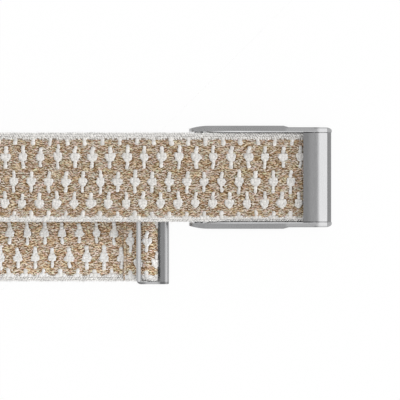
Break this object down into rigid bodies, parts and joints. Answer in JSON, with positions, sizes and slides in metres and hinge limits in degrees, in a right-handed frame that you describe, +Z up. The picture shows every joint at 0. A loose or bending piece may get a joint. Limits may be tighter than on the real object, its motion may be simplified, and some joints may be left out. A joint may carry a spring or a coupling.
{
  "type": "knit fitness tracker band",
  "caption": "Patterned elastic knit strap with a steel lever clasp and cradle at one end and a hooked adjuster ring at the other, laid flat with its strands crossed.",
  "frame": {"origin": "middle of the footprint on the table that the band lies on", "axes": "+X along the strap towards the clasp, +Y across it to the left, +Z up from the table"},
  "size_m": [0.1214, 0.0392, 0.0099],
  "materials": {
    "knit": "marled tan knit with off-white motifs",
    "thread": "twisted off-white thread",
    "satin_steel": "satin, bead blasted",
    "plate_steel": "fine brushed across the strap",
    "ring_steel": "polished keeper, satin hook",
    "bright_steel": "turned and polished",
    "spring_steel": "rolled spring strip",
    "bronze": "sintered bronze",
    "pad": "moulded nylon"
  },
  "bodies": {
    "strap": {"knit_strap": "knit", "anchor_seam": "thread", "tail_seam": "thread"},
    "clasp": {"clasp_frame": "satin_steel", "cover_plate": "plate_steel", "plate_pins": "bright_steel", "anchor_bar": "bright_steel", "hinge_bar": "bright_steel", "hinge_spacer_left": "satin_steel", "hinge_spacer_right": "satin_steel"},
    "cradle": {"cradle_frame": "satin_steel", "hinge_bush_left": "bronze", "hinge_bush_right": "bronze", "hook_bar": "bright_steel", "seat_pad_left": "pad", "seat_pad_right": "pad", "pod_spring": "spring_steel", "spring_rivets": "bright_steel"},
    "ring": {"adjuster_ring": "ring_steel", "tension_bar": "bright_steel"}
  },
  "joints": [
    {"name": "clasp_hinge", "type": "hinge", "parent": "strap", "child": "clasp", "pos_m": [0.05614, 0.00688, 0.0055], "axis": [0, -1, 0], "range_deg": [0, 12]},
    {"name": "cradle_hinge", "type": "hinge", "parent": "clasp", "child": "cradle", "pos_m": [0.02774, 0.00688, 0.0039], "axis": [0, 1, 0], "range_deg": [0, 110]},
    {"name": "ring_hinge", "type": "hinge", "parent": "strap", "child": "ring", "pos_m": [0.01568, -0.00788, 0.0021], "axis": [0, 1, 0], "range_deg": [0, 18]}
  ]
}
